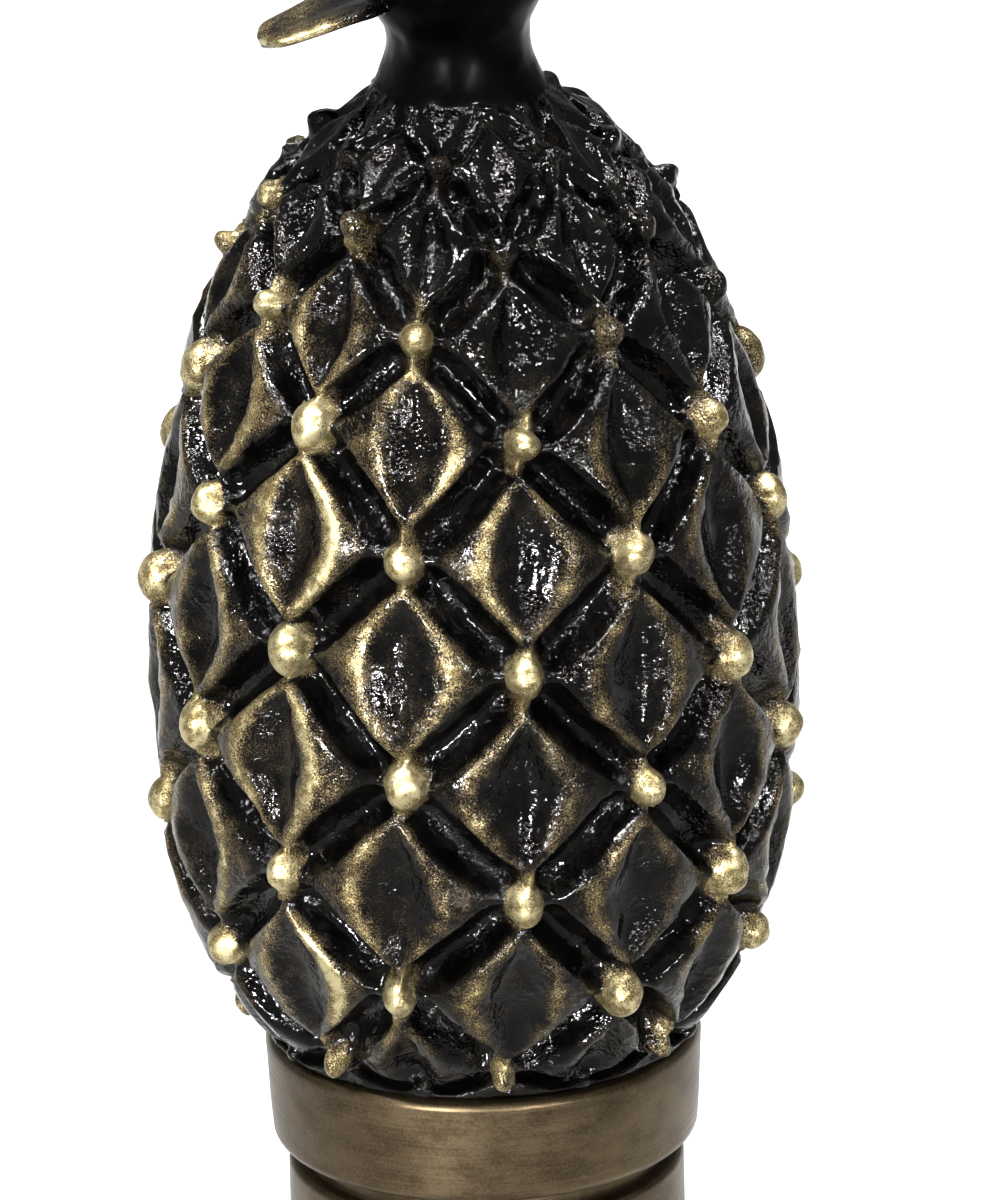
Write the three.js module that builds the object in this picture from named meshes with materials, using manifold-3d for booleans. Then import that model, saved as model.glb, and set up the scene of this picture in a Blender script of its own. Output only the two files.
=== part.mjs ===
// A pineapple finial for the end of a round curtain pole: a carved egg with a leaf crown, cast in
// one piece, on a turned collar and a sleeve that slips over the pole.
// Millimetres, +Z up, origin at the middle of the sleeve's open end. The front faces -Y.
import * as THREE from "three";
import { mergeVertices } from "three/addons/utils/BufferGeometryUtils.js";
import Module from "manifold-3d";

const wasm = await Module();
wasm.setup();

// Pole and sleeve
const poleDiameter = 25.4;
const poleClearance = 0.2;
const sleeveWall = 0.8;
const sleeveHeight = 14;
const sleeveTopThickness = 1.6;
const sleeveRounding = 0.5;
const seamGap = 0.3;

// Dark recess between the sleeve and the collar
const recessHeight = 1.6;
const recessDepth = 1.1;

// Collar
const collarHeight = 7.6;
const collarProud = 1.35;
const collarBottomSlimming = 0.35;
const collarTopRounding = 0.8;
const collarBottomRounding = 1.1;

// Spigot under the casting, which the collar sits round
const spigotRadius = 9;
const spigotLength = 6.4;

// The egg, measured to the faces of its plates
const eggRadius = 21.55;
const eggFootRadius = 14.7;
const eggMiddleHeight = 26.9;
const eggUpperHalf = 41.5;
const eggLowerHalf = 30;
const eggLowerFullness = 2.7;

// The lattice of studs and plates
const columns = 8;
const rows = 11;
const rowAngle = 11.1;
const bottomStudAngle = -36.5;
const latticeTurn = 9.2;
const latticeTwistPerRow = 0.82;
const untwistedRow = 5;
const rowTilt = 1.85;
const plateShare = 0.15;
const channelFloorShare = 0.085;
const channelDepth = 1.25;
const studRadius = 1.5;
const studProud = 1.2;
const studShoulder = 0.5;
const dishDepth = 0.85;
const ridgeRise = 0.35;
const sideCornerDrop = 0.45;
const ridgeShare = 0.35;
const shoulderRowsFlattened = 3.2;

// Neck and crown
const neckHeight = 70.7;
const neckRadius = 5;
const neckFlareRadius = 6.3;
const neckFlareRise = 3.8;
const crownHeight = 37;
const crownReach = 14.6;
const leafCount = 17;
const leafRise = 0.74;
const firstLeafAzimuth = -75;
const leafTurn = 137.5;
const leafWidth = 7.8;
const leafBaseShare = 0.55;
const leafBaseLength = 0.35;
const leafTipWidth = 4.6;
const leafThickness = 2.6;
const leafTipThickness = 2;
const leafStations = 5;

// Midlines of three leaves, as shares of the crown's reach and height above the neck
const lowestLeaf = [[0.3, 0.07], [0.466, 0.086], [0.635, 0.037], [0.929, 0]];
const middleLeaf = [[0.3, 0.1], [0.52, 0.4], [0.8, 0.75], [1.16, 0.72]];
const topmostLeaf = [[0.1, 0.36], [0.16, 0.6], [0.2, 0.85], [0.06, 1]];

// A leaf's section, as shares of its half width and half thickness: channelled above, keeled below
const leafSection = [[-1, 0], [-0.5, 0.5], [0, 0.2], [0.5, 0.5], [1, 0], [0, -0.85]];

// Faces round a turned piece
const turnedSides = 40;
const neckSides = 20;

// Heights of the stack, from the sleeve's open end upwards
const boreRadius = (poleDiameter + poleClearance) / 2;
const sleeveRadius = boreRadius + sleeveWall;
const recessRadius = sleeveRadius - recessDepth;
const collarRadius = sleeveRadius + collarProud;
const collarBottom = sleeveHeight + recessHeight;
const collarTop = collarBottom + collarHeight;
const seatHeight = collarTop + seamGap;
const eggMiddle = collarTop + eggMiddleHeight;
const neckLevel = collarTop + neckHeight;

const degree = Math.PI / 180;

function finish(color, roughness, metalness) {
  return new THREE.MeshStandardMaterial({ color, roughness, metalness });
}

// A closed geometry as a solid that can be joined and cut.
function solidOf(geometry) {
  const bare = geometry.clone();
  bare.deleteAttribute("normal");
  bare.deleteAttribute("uv");
  const merged = mergeVertices(bare, 1e-4);
  return new wasm.Manifold(
    new wasm.Mesh({
      numProp: 3,
      vertProperties: new Float32Array(merged.attributes.position.array),
      triVerts: new Uint32Array(merged.index.array),
    }),
  );
}

function geometryOf(solid) {
  const mesh = solid.getMesh();
  const geometry = new THREE.BufferGeometry();
  geometry.setAttribute("position", new THREE.BufferAttribute(mesh.vertProperties, 3));
  geometry.setIndex(new THREE.BufferAttribute(mesh.triVerts, 1));
  geometry.computeVertexNormals();
  return geometry;
}

// A turned solid about +Z from points of radius and height that start and end on the axis or close.
function turned(points, sides = turnedSides) {
  return new THREE.LatheGeometry(points, sides).rotateX(Math.PI / 2);
}

// Points of a quarter round about a centre, from one angle to another in degrees.
function quarter(centreRadius, centreHeight, radius, from, to, steps = 2) {
  const points = [];
  for (let i = 0; i <= steps; i += 1) {
    const angle = (from + ((to - from) * i) / steps) * degree;
    points.push(
      new THREE.Vector2(
        centreRadius + radius * Math.cos(angle),
        centreHeight + radius * Math.sin(angle),
      ),
    );
  }
  return points;
}

// The sleeve: a cup open below for the pole, with a stepped top that makes the dark recess.
function sleeve() {
  const boreTop = sleeveHeight - sleeveTopThickness;
  return turned([
    new THREE.Vector2(0, boreTop),
    new THREE.Vector2(boreRadius, boreTop),
    new THREE.Vector2(boreRadius, 0),
    new THREE.Vector2(sleeveRadius, 0),
    ...quarter(sleeveRadius - sleeveRounding, sleeveHeight - sleeveRounding, sleeveRounding, 0, 90),
    new THREE.Vector2(recessRadius, sleeveHeight),
    new THREE.Vector2(recessRadius, collarBottom - seamGap),
    new THREE.Vector2(0, collarBottom - seamGap),
  ]);
}

// The collar: a ring a little slimmer below, with a rolled top edge and a rounder lower one.
function collar() {
  const hole = spigotRadius + seamGap;
  const lowRadius = collarRadius - collarBottomSlimming;
  const top = quarter(
    collarRadius - collarTopRounding,
    collarTop - collarTopRounding,
    collarTopRounding,
    0,
    90,
  );
  const bottom = quarter(
    lowRadius - collarBottomRounding,
    collarBottom + collarBottomRounding,
    collarBottomRounding,
    -90,
    0,
  );
  return turned([
    new THREE.Vector2(hole, collarBottom),
    ...bottom,
    ...top,
    new THREE.Vector2(hole, collarTop),
    new THREE.Vector2(hole, collarBottom),
  ]);
}

// Height of a lattice row on the egg. Rows sit at even angles of the upper ellipse.
function rowHeight(row) {
  const angleAt = (r) => (bottomStudAngle + (r - 1) * rowAngle) * degree;
  const atStudRow = (r) => eggMiddle + eggUpperHalf * Math.sin(angleAt(r));
  return row < 1 ? THREE.MathUtils.lerp(seatHeight, atStudRow(1), row) : atStudRow(row);
}

// Radius of the egg at a height: an ellipse above the middle and a fuller curve below it.
function eggRadiusAt(height) {
  const above = height > eggMiddle;
  const power = above ? 2 : eggLowerFullness;
  const share = Math.abs(height - eggMiddle) / (above ? eggUpperHalf : eggLowerHalf);
  return eggRadius * Math.max(1 - share ** power, 0) ** (1 / power);
}

// The outline at a row. Below the lowest studs it stands on a plain foot as wide as the collar.
function eggOutline(row) {
  const height = rowHeight(row);
  const foot = height < eggMiddle ? eggFootRadius : 0;
  return new THREE.Vector2(Math.max(eggRadiusAt(height), foot), height);
}

// Share of the full relief at a row: it dies out at the seat and flattens towards the neck.
function reliefShare(row) {
  const fromSeat = THREE.MathUtils.smoothstep(row, -0.4, 1);
  const fromNeck = THREE.MathUtils.smoothstep(rows - row, -0.8, shoulderRowsFlattened);
  return fromSeat * fromNeck;
}

// A point standing off the egg by its relief. Columns count round it and rows count up it.
function onEgg(column, row, relief) {
  const twist = latticeTwistPerRow * (row - untwistedRow);
  const turn = ((column / columns) * 360 + latticeTurn + twist) * degree;
  const rowsTilted = (rowTilt / (eggUpperHalf * rowAngle * degree)) * Math.sin((Math.PI * row) / rows);
  const shifted = THREE.MathUtils.clamp(row - rowsTilted * Math.sin(turn), 0, rows);
  const place = eggOutline(shifted);
  const step = 0.05;
  const along = eggOutline(Math.min(shifted + step, rows)).sub(eggOutline(Math.max(shifted - step, 0)));
  const outward = new THREE.Vector2(along.y, -along.x).normalize();
  place.addScaledVector(outward, relief * reliefShare(row));
  return new THREE.Vector3(place.x * Math.sin(turn), -place.x * Math.cos(turn), place.y);
}

// Relief at a corner of the cell mesh. The two distances are to the cell's channel lines, as
// shares of the cell's side.
function cornerRelief(p, q) {
  const acrossP = Math.min(p, 1 - p);
  const acrossQ = Math.min(q, 1 - q);
  const wider = Math.max(acrossP, acrossQ);
  if (wider === 0) return studProud;
  if (wider < plateShare) return studShoulder;
  if (Math.min(acrossP, acrossQ) < plateShare) return -channelDepth;
  const atSideCorner = acrossP === plateShare && acrossQ === plateShare && p > 0.5 !== q > 0.5;
  return atSideCorner ? -sideCornerDrop : 0;
}

// The eight points round a stud are drawn in to a true circle.
function roundedStud(p, q) {
  const cornerP = Math.round(p);
  const cornerQ = Math.round(q);
  const away = new THREE.Vector2(p - cornerP, q - cornerQ);
  const wider = Math.max(Math.abs(away.x), Math.abs(away.y));
  if (wider === 0 || wider >= plateShare) return [p, q];
  const side = Math.hypot(eggRadius * Math.PI / columns, eggUpperHalf * rowAngle * degree);
  away.setLength(studRadius / side);
  return [cornerP + away.x, cornerQ + away.y];
}

// The egg's carved skin, cell by cell, closed by a flat seat below and a flat cap under the neck.
function carvedEgg() {
  const positions = [];
  const known = new Map();
  const faces = [];

  // The number of the vertex at a lattice position, made when it is first needed.
  function vertex(column, row, relief) {
    const wrapped = ((column % columns) + columns) % columns;
    const key = `${Math.round(wrapped * 1e4) % (columns * 1e4)},${Math.round(row * 1e4)}`;
    if (!known.has(key)) {
      known.set(key, positions.length);
      positions.push(onEgg(column, row, relief));
    }
    return known.get(key);
  }

  // Adds one face of a cell, unless it lies past the lattice's first or last row.
  function face(cell, ...corners) {
    const middle = corners.reduce((sum, [p, q]) => sum + cell.row + p + q - 1, 0) / corners.length;
    if (middle < 0 || middle > rows) return;
    const numbers = corners.map(([p, q, relief]) => {
      const [roundP, roundQ] = roundedStud(p, q);
      const height = relief ?? cornerRelief(p, q);
      return vertex(cell.column + (roundP - roundQ) / 2, cell.row + roundP + roundQ - 1, height);
    });
    faces.push(numbers);
  }

  // A quad is parted along the level line, so that a cell can be cut in half there.
  function quad(cell, lowP, lowQ, highP, highQ) {
    face(cell, [lowP, lowQ], [highP, lowQ], [lowP, highQ]);
    face(cell, [highP, lowQ], [highP, highQ], [lowP, highQ]);
  }

  // The plate: a dish between two bowed ridges that run from its lower to its upper corner.
  function plate(cell) {
    const low = plateShare;
    const high = 1 - plateShare;
    const centre = [0.5, 0.5, -dishDepth];
    const rightRidge = [1 - ridgeShare, ridgeShare, ridgeRise];
    const leftRidge = [ridgeShare, 1 - ridgeShare, ridgeRise];
    face(cell, [low, low], rightRidge, centre);
    face(cell, rightRidge, [high, high], centre);
    face(cell, [high, high], leftRidge, centre);
    face(cell, leftRidge, [low, low], centre);
    face(cell, [low, low], [high, low], rightRidge);
    face(cell, [high, low], [high, high], rightRidge);
    face(cell, [high, high], [low, high], leftRidge);
    face(cell, [low, high], [low, low], leftRidge);
  }

  const floor = channelFloorShare;
  const lines = [0, floor, plateShare, 1 - plateShare, 1 - floor, 1];
  const plateLine = 2;
  for (let row = 0; row <= rows; row += 1) {
    for (let i = 0; i < columns; i += 1) {
      const cell = { column: row % 2 === 0 ? i : i + 0.5, row };
      plate(cell);
      for (let a = 0; a < lines.length - 1; a += 1) {
        for (let b = 0; b < lines.length - 1; b += 1) {
          if (a === plateLine && b === plateLine) continue;
          quad(cell, lines[a], lines[b], lines[a + 1], lines[b + 1]);
        }
      }
    }
  }

  // Flat caps: a fan from the axis to each open edge.
  const used = new Set();
  for (const [a, b, c] of faces) {
    for (const [from, to] of [[a, b], [b, c], [c, a]]) used.add(`${from},${to}`);
  }
  const seatCentre = positions.push(new THREE.Vector3(0, 0, rowHeight(0))) - 1;
  const capCentre = positions.push(new THREE.Vector3(0, 0, rowHeight(rows))) - 1;
  for (const edge of used) {
    const [from, to] = edge.split(",").map(Number);
    if (used.has(`${to},${from}`)) continue;
    const isSeat = positions[from].z < eggMiddle;
    faces.push([to, from, isSeat ? seatCentre : capCentre]);
  }

  const geometry = new THREE.BufferGeometry().setFromPoints(positions);
  geometry.setIndex(faces.flat());
  return geometry;
}

// Neck and the crown's core, turned in one: it flares down on to the egg and up into the leaves.
function neckAndCore() {
  const skirtRadius = neckRadius * 1.75;
  const skirtLevel = neckLevel - neckRadius * 1.5;
  const rootLevel = neckLevel - neckRadius * 2.4;
  const coreTop = neckLevel + crownHeight * 0.78;
  const outline = new THREE.SplineCurve([
    new THREE.Vector2(skirtRadius, skirtLevel),
    new THREE.Vector2(neckRadius * 1.16, neckLevel - neckRadius * 0.72),
    new THREE.Vector2(neckRadius, neckLevel),
    new THREE.Vector2(neckFlareRadius, neckLevel + neckFlareRise),
    new THREE.Vector2(neckFlareRadius * 0.85, neckLevel + crownHeight * 0.27),
    new THREE.Vector2(neckFlareRadius * 0.3, neckLevel + crownHeight * 0.7),
  ]);
  return turned(
    [
      new THREE.Vector2(0, rootLevel),
      new THREE.Vector2(skirtRadius, rootLevel),
      ...outline.getPoints(10),
      new THREE.Vector2(0, coreTop),
    ],
    neckSides,
  );
}

// The midline of a leaf in its own upright plane, as reach from the axis and height. It blends
// from the lowest leaf's line through the middle leaves' to the topmost one's.
function leafMidline(share) {
  const blend = new THREE.QuadraticBezierCurve();
  const points = lowestLeaf.map((lowest, i) => {
    blend.v0.set(...lowest);
    blend.v1.set(...middleLeaf[i]);
    blend.v2.set(...topmostLeaf[i]);
    const point = blend.getPoint(share);
    return point.set(point.x * crownReach, neckLevel + point.y * crownHeight);
  });
  return new THREE.CubicBezierCurve(...points);
}

// One leaf: a keeled, channelled blade lofted along its midline, narrow where it leaves the core
// and blunt at the tip.
function leaf(number) {
  const midline = leafMidline((number / (leafCount - 1)) ** leafRise);
  const positions = [];
  for (let i = 0; i <= leafStations; i += 1) {
    const along = i / leafStations;
    const at = midline.getPoint(along);
    const heading = midline.getTangent(along);
    const upward = new THREE.Vector2(-heading.y, heading.x);
    const fullWidth = THREE.MathUtils.lerp(leafWidth, leafTipWidth, along ** 2.5);
    const grown = THREE.MathUtils.smoothstep(along, 0, leafBaseLength);
    const halfWidth = (fullWidth * THREE.MathUtils.lerp(leafBaseShare, 1, grown)) / 2;
    const halfThickness = THREE.MathUtils.lerp(leafThickness, leafTipThickness, along) / 2;
    for (const [across, rise] of leafSection) {
      const lifted = at.clone().addScaledVector(upward, rise * halfThickness);
      positions.push(new THREE.Vector3(across * halfWidth, -lifted.x, lifted.y));
    }
  }
  const sides = leafSection.length;
  const last = leafStations * sides;
  const faces = [];
  for (let start = 0; start < last; start += sides) {
    for (let j = 0; j < sides; j += 1) {
      const a = start + j;
      const b = start + ((j + 1) % sides);
      faces.push([a, a + sides, b], [b, a + sides, b + sides]);
    }
  }
  const tip = midline.v3.clone().addScaledVector(midline.getTangent(1), leafTipThickness / 2);
  const baseCentre = positions.push(new THREE.Vector3(0, -midline.v0.x, midline.v0.y)) - 1;
  const tipCentre = positions.push(new THREE.Vector3(0, -tip.x, tip.y)) - 1;
  for (let j = 0; j < sides; j += 1) {
    const next = (j + 1) % sides;
    faces.push([j, next, baseCentre]);
    faces.push([last + next, last + j, tipCentre]);
  }
  const geometry = new THREE.BufferGeometry().setFromPoints(positions);
  geometry.setIndex(faces.flat());
  return geometry.rotateZ((firstLeafAzimuth + number * leafTurn) * degree);
}

function spigot() {
  const top = seatHeight + channelDepth;
  const bottom = seatHeight - spigotLength;
  return turned([
    new THREE.Vector2(0, bottom),
    new THREE.Vector2(spigotRadius, bottom),
    new THREE.Vector2(spigotRadius, top),
    new THREE.Vector2(0, top),
  ]);
}

function pineapple() {
  let solid = solidOf(carvedEgg()).add(solidOf(neckAndCore())).add(solidOf(spigot()));
  for (let number = 0; number < leafCount; number += 1) solid = solid.add(solidOf(leaf(number)));
  return geometryOf(solid);
}

const blackenedBrass = finish(0x2a2219, 0.35, 0.8);
const brushedBrass = finish(0x7a6244, 0.45, 0.9);

function piece(name, geometry, material) {
  const mesh = new THREE.Mesh(geometry, material);
  mesh.name = name;
  return mesh;
}

const finial = new THREE.Group();
finial.add(piece("sleeve", sleeve(), brushedBrass));
finial.add(piece("collar", collar(), brushedBrass));
finial.add(piece("pineapple", pineapple(), blackenedBrass));

export default finial;
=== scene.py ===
# %% [markdown]
# # A cast pineapple finial
#
# This lesson dresses a imported model of a pineapple finial, the ornament that closes the end of
# a round curtain pole. The real one is three pieces: a cast pineapple (egg, neck and leaf crown
# in one pour), a turned collar, and a sleeve that slips over the pole. The imported model gives
# every piece its true size and place. What Blender adds is what the eye sees from close up: the
# crisp channels, dished plates and round studs, the black lacquer, and the pale metal where
# hands and cloths have rubbed it back.
#
# The imported model is loaded first, and the boxes of its pieces give sizes used below.

import math

import bmesh
import bpy
import numpy as np
from mathutils import Matrix, Vector, noise


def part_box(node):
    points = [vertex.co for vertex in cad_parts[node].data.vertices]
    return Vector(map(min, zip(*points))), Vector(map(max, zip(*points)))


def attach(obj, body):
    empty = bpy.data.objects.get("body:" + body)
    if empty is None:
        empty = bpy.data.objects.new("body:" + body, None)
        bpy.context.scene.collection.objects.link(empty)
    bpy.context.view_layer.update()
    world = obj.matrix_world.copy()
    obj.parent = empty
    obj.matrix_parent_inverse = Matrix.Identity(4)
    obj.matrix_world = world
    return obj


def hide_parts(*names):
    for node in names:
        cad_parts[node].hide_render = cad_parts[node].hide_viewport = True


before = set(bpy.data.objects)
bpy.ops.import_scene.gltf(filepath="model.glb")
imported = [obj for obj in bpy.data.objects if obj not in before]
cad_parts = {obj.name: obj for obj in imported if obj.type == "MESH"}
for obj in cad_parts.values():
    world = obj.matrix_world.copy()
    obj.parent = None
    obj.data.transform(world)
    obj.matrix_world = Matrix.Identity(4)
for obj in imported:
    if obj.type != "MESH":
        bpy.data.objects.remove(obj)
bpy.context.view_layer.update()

# %% [markdown]
# ## Where things are
#
# All sizes are in millimetres here and become metres only when a mesh is made. The heights come
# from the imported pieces: the collar's top edge carries the egg, so the egg's rows are counted
# from there. The few sizes of the carving itself (how many studs, how deep a channel) are the
# carver's own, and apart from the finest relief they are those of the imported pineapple.

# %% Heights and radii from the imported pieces
MM = 0.001
SEAT_GAP = 0.3
EGG_MIDDLE_HEIGHT = 26.9
NECK_HEIGHT = 70.7
CROWN_HEIGHT = 37.0


def node_box_mm(node):
    """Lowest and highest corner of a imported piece."""
    low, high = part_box(node)
    return np.array(low) / MM, np.array(high) / MM


collar_low, collar_high = node_box_mm("collar")
_, sleeve_high = node_box_mm("sleeve")

collar_top = collar_high[2]
collar_bottom = collar_low[2]
collar_radius = collar_high[0]
sleeve_radius = sleeve_high[0]
seat_height = collar_top + SEAT_GAP
egg_middle = collar_top + EGG_MIDDLE_HEIGHT
neck_level = collar_top + NECK_HEIGHT
print("collar top", round(collar_top, 2), "neck", round(neck_level, 2), "mm")

# %% [markdown]
# ## The egg's outline
#
# A real pineapple finial is carved on a turned blank, so everything on it can be placed by two
# numbers: how far round (in columns of studs) and how far up (in rows). The blank is an ellipse
# above its widest place and a fuller curve below it. The rows sit at even angles of the ellipse,
# which is what makes the diamonds shorten by themselves towards the neck, as they do when a
# carver keeps the same divider step. The lattice leans and twists a little, as on the real one.

# %% The blank and its lattice
COLUMNS = 8
ROWS = 11
EGG_RADIUS = 21.55
UPPER_HALF = 41.5
LOWER_HALF = 30.0
LOWER_FULLNESS = 2.7
ROW_ANGLE = math.radians(11.1)
BOTTOM_STUD_ANGLE = math.radians(-36.5)
LATTICE_TURN = math.radians(9.2)
TWIST_PER_ROW = math.radians(0.82)
UNTWISTED_ROW = 5
ROW_TILT = 1.85
FOOT_RADIUS = 14.7
OUTLINE_STEP = 0.05


def row_height(row):
    """Height of a row of studs; the seat takes the place of row 0."""
    at_stud_row = egg_middle + UPPER_HALF * np.sin(BOTTOM_STUD_ANGLE + (row - 1) * ROW_ANGLE)
    first = egg_middle + UPPER_HALF * math.sin(BOTTOM_STUD_ANGLE)
    return np.where(row < 1, seat_height + (first - seat_height) * row, at_stud_row)


def egg_radius(height):
    """Radius of the blank at a height."""
    above = height > egg_middle
    power = np.where(above, 2.0, LOWER_FULLNESS)
    share = np.abs(height - egg_middle) / np.where(above, UPPER_HALF, LOWER_HALF)
    return EGG_RADIUS * np.maximum(1 - share**power, 0) ** (1 / power)


def outline(row):
    """Radius and height of the blank at a row; below the lowest studs it stands on a foot."""
    height = row_height(row)
    foot = np.where(height < egg_middle, FOOT_RADIUS, 0)
    return np.maximum(egg_radius(height), foot), height


def turn_of(column, row):
    """Angle round the egg, from the front towards +X."""
    return column / COLUMNS * math.tau + LATTICE_TURN + TWIST_PER_ROW * (row - UNTWISTED_ROW)


def on_egg(column, row, relief):
    """Points that stand off the blank by their relief, in millimetres."""
    turn = turn_of(column, row)
    tilt = ROW_TILT / (UPPER_HALF * ROW_ANGLE) * np.sin(math.pi * row / ROWS)
    shifted = np.clip(row - tilt * np.sin(turn), 0, ROWS)
    low_radius, low_height = outline(np.maximum(shifted - OUTLINE_STEP, 0))
    high_radius, high_height = outline(np.minimum(shifted + OUTLINE_STEP, ROWS))
    along = np.hypot(high_radius - low_radius, high_height - low_height)
    radius, height = outline(shifted)
    radius = radius + relief * (high_height - low_height) / along
    height = height - relief * (high_radius - low_radius) / along
    return np.stack([radius * np.sin(turn), -radius * np.cos(turn), height], axis=-1)


print("egg", round(2 * EGG_RADIUS, 1), "mm across its plates,", COLUMNS, "studs to a row")

# %% [markdown]
# ## How the relief is made
#
# The carving could be sculpted by hand, or pressed in by a displacement picture. Here it is
# worked out, because the pattern is a rule: channels cross at studs, and each diamond between
# them is a plate. One plate is described once, in its own two coordinates that run along its
# sides, and the same rule serves them all. Each plate and stud then gets its own small error
# from a seeded dice, since no two on a casting are alike.

# %% Small errors of the carver's hand
NODE_ROWS = ROWS + 3
ROUNDING_GUARD = 0.25

dice = np.random.default_rng(8)
stud_shift = dice.uniform(-1, 1, (NODE_ROWS, COLUMNS, 2)) * [0.03, 0.05]
stud_size = dice.uniform(0.7, 0.98, (NODE_ROWS, COLUMNS))
stud_length = dice.uniform(1.0, 1.45, (NODE_ROWS, COLUMNS))
stud_rise = dice.uniform(-0.16, 0.16, (NODE_ROWS, COLUMNS))
plate_depth = dice.uniform(0.8, 1.2, (NODE_ROWS, COLUMNS))
plate_wear = dice.uniform(0.6, 1.15, (NODE_ROWS, COLUMNS))
side_wear = dice.uniform(-0.35, 0.35, (NODE_ROWS, COLUMNS))
ridge_lean = dice.uniform(-0.08, 0.08, (NODE_ROWS, COLUMNS))
stem_bend = dice.uniform(-0.3, 0.3, (NODE_ROWS, COLUMNS))
stem_reach = dice.uniform(1.7, 3.6, (NODE_ROWS, COLUMNS, 2))


def node_index(column, row):
    """Index of the lattice node at a whole row and its column, in the tables of errors."""
    return int(round(row)) + 1, int(math.floor(column + ROUNDING_GUARD)) % COLUMNS


print("tables of errors for", NODE_ROWS * COLUMNS, "lattice places")

# %% Relief of the channels and plates
SIDE_AT_MIDDLE = 11.4
CHANNEL_HALF = 1.36
CHANNEL_DEPTH = 1.5
CHANNEL_END = 2.3
CHANNEL_FLOOR_POWER = 2.2
CHANNEL_EDGE_POWER = 1.1
WEB_DROP = 0.3
LIP_RISE = 0.08
LIP_WIDTH = 0.25
LIP_OFFSET = 0.15
LIP_FADE_POWER = 8
RIDGE_RISE = 0.45
RIDGE_END_DROP = 0.4
RIDGE_BOW = 0.47
RIDGE_BOW_POWER = 1.5
RIDGE_WIDTH = 0.2
RIDGE_JOIN = 0.02
DISH_DEPTH = 1.3
DISH_END_POWER = 2.5
DISH_FLOOR_POWER = 1.7
DISH_WALL_POWER = 0.85
SIDE_CORNER_DROP = 0.75
CREST_RUB = 1.3
CREST_WIDTH = 0.1
CREST_OFFSET = 0.02
SLOPE_RUB = 0.34
SLOPE_START = (-0.12, 0.0)
SLOPE_END = (0.1, 0.62)
RUB_LOSS_AT_ENDS = 0.2
DISH_RUB = 0.09


def smooth_step(value, low, high):
    """A share that eases from 0 at the low limit to 1 at the high one."""
    share = np.clip((value - low) / (high - low), 0, 1)
    return share * share * (3 - 2 * share)


def smooth_max(a, b, softness):
    """The larger of two heights, with the join rounded where they nearly meet."""
    near = np.maximum(softness - np.abs(a - b), 0) / softness
    return np.maximum(a, b) + near * near * softness / 4


def channel(a, b, width):
    """Relief of the channels at distances a and b from the two nearest channel lines.

    A channel has a round floor and rounded edges, and it ends round too, just short of the
    studs. A web is left there, on which the stud stands.
    """
    end = CHANNEL_END * width
    from_a = np.hypot(a, np.maximum(end - b, 0))
    from_b = np.hypot(b, np.maximum(end - a, 0))
    distance = np.minimum(from_a, from_b)
    across = np.minimum(distance / (CHANNEL_HALF * width), 1)
    beside = distance - (CHANNEL_HALF + LIP_OFFSET) * width
    lip = LIP_RISE * np.exp(-((beside / LIP_WIDTH) ** 2))
    floor = -CHANNEL_DEPTH * (1 - across**CHANNEL_FLOOR_POWER) ** CHANNEL_EDGE_POWER
    return floor + lip * across**LIP_FADE_POWER


def plate(p, q, margin, depth, lean, sided):
    """Relief and rub of one plate inside its channels.

    The plate is a dish between two bowed ridges from its lower to its upper corner; outside
    the ridges it falls away to its side corners.
    """
    inner_p = np.clip((p - margin) / (1 - 2 * margin), 0, 1)
    inner_q = np.clip((q - margin) / (1 - 2 * margin), 0, 1)
    across = inner_p - inner_q
    up = inner_p + inner_q - 1
    bow = (RIDGE_BOW + lean * np.sign(across)) * (1 - np.abs(up) ** RIDGE_BOW_POWER) + RIDGE_JOIN
    beyond = np.abs(across) - bow
    crest = RIDGE_RISE * (1 - RIDGE_END_DROP * up**2)
    inside = np.clip(np.abs(across) / np.maximum(bow - RIDGE_WIDTH / 2, RIDGE_JOIN), 0, 1)
    bowl = (1 - inside**DISH_FLOOR_POWER) ** DISH_WALL_POWER
    dish = DISH_DEPTH * depth * (1 - np.abs(up) ** DISH_END_POWER) * bowl
    fall = SIDE_CORNER_DROP * np.clip(beyond - RIDGE_WIDTH / 2, 0, 1) / (1 - RIDGE_BOW)
    relief = crest - dish - fall
    on_crest = CREST_RUB * np.exp(-(((beyond - CREST_OFFSET) / CREST_WIDTH) ** 2))
    on_crest = on_crest * (1 + sided * np.sign(across))
    on_slope = smooth_step(beyond, *SLOPE_START) * (1 - smooth_step(beyond, *SLOPE_END))
    rub = np.maximum(on_crest, SLOPE_RUB * on_slope) * (1 - RUB_LOSS_AT_ENDS * np.abs(up))
    return relief, np.maximum(rub, DISH_RUB)


print("channels", 2 * CHANNEL_HALF, "mm wide")

# %% Relief of the studs and their stems
STUD_RADIUS = 1.56
STUD_PROUD = 1.3
STUD_FOOT = -0.75
STUD_DOME_POWER = 0.8
STUD_RUB_REACH = 1.12
STUD_RUB_FADE = 0.2
STEM_HALF = 0.5
STEM_SPREAD = 1.7
STEM_END = 0.75
STEM_LEAST = 0.02
STEM_LEVEL = 0.1
STEM_RISE = 0.45
NOWHERE = -9.0


def stud(sideways, upward, size, length, rise):
    """Relief and rub of a stud: a ball sunk to half its height, drawn out a little upwards."""
    share = np.hypot(sideways, upward / length) / size
    dome = np.sqrt(np.maximum(1 - share**2, 0)) ** STUD_DOME_POWER
    relief = np.where(share < 1, STUD_FOOT + (STUD_PROUD + rise - STUD_FOOT) * dome, NOWHERE)
    return relief, smooth_step(STUD_RUB_REACH - share, 0, STUD_RUB_FADE)


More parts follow.
